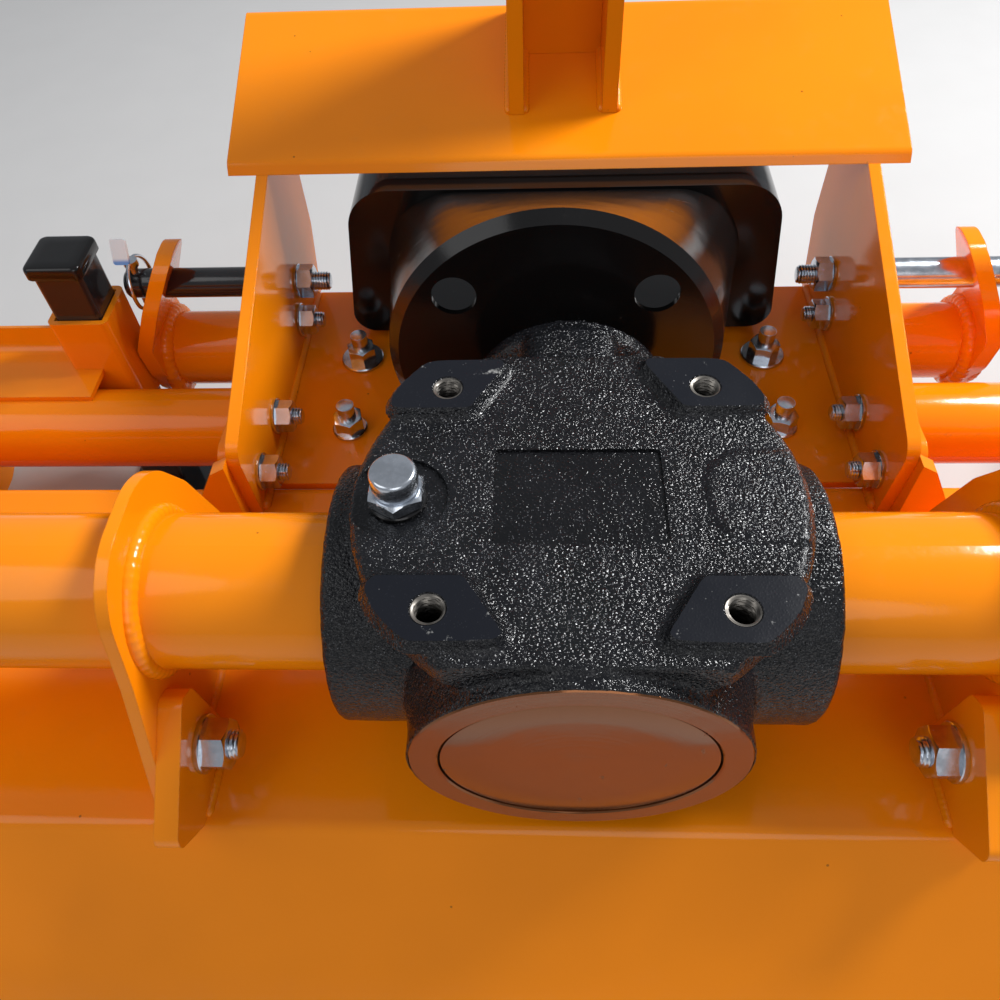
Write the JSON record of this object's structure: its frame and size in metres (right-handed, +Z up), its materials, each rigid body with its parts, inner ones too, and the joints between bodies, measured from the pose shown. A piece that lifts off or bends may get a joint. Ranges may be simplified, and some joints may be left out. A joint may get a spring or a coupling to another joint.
{
  "type": "rotavator headstock with gearbox",
  "caption": "Centre frame of a tractor rotavator: bevel gearbox between axle tubes, hitch headstock, guarded power input, rotor deck, end plates and a parking stand.",
  "frame": {"origin": "centre of the four threaded holes, on the gearbox's top pads", "axes": "+X to the machine's right, +Y forward to the tractor, +Z up out of the pads"},
  "size_m": [1.11, 0.672, 0.602],
  "materials": {
    "orange_paint": "gloss",
    "black_casting": "gloss",
    "black_paint": "gloss",
    "machined_cap": "gloss",
    "zinc": "satin",
    "bare_steel": "satin",
    "black_plastic": "gloss"
  },
  "bodies": {
    "frame": {"axle_tube_left": "orange_paint", "axle_tube_right": "orange_paint", "cross_tube": "orange_paint", "deck_lug_left": "orange_paint", "deck_lug_right": "orange_paint", "end_plate_left": "orange_paint", "end_plate_right": "orange_paint", "filler_plug": "zinc", "front_shelf_left": "orange_paint", "front_shelf_right": "orange_paint", "front_tube": "orange_paint", "gearbox_housing": "black_casting", "headstock_base": "orange_paint", "headstock_foot_left": "orange_paint", "headstock_foot_right": "orange_paint", "headstock_hood": "orange_paint", "headstock_side_left": "orange_paint", "headstock_side_right": "orange_paint", "hitch_ear_left": "orange_paint", "hitch_ear_right": "orange_paint", "hitch_pin_left": "black_paint", "hitch_pin_right": "zinc", "hood_deck": "orange_paint", "mast_web": "orange_paint", "pto_guard": "black_plastic", "rear_cap": "machined_cap", "saddle_left": "orange_paint", "saddle_right": "orange_paint", "stand_sleeve": "orange_paint", "top_link_ear_left": "orange_paint", "top_link_ear_right": "orange_paint", "u_bolts": "zinc"},
    "input_shaft": {"input_shaft": "bare_steel"},
    "output_shaft": {"output_shaft": "bare_steel"},
    "stand": {"stand_post": "black_paint", "stand_cap": "black_plastic"}
  },
  "joints": [
    {"name": "output_spin", "type": "hinge", "parent": "frame", "child": "output_shaft", "pos_m": [0.3, 0, -0.08], "axis": [1, 0, 0], "continuous": true},
    {"name": "input_spin", "type": "hinge", "parent": "frame", "child": "input_shaft", "pos_m": [0, 0.2, -0.08], "axis": [0, 1, 0], "continuous": true},
    {"name": "stand_slide", "type": "slide", "parent": "frame", "child": "stand", "axis": [0, 0, 1], "range_m": [0, 0.085]}
  ],
  "couplings": [
    {"joint": "input_spin", "follows": "output_spin", "ratio": 2.5}
  ]
}
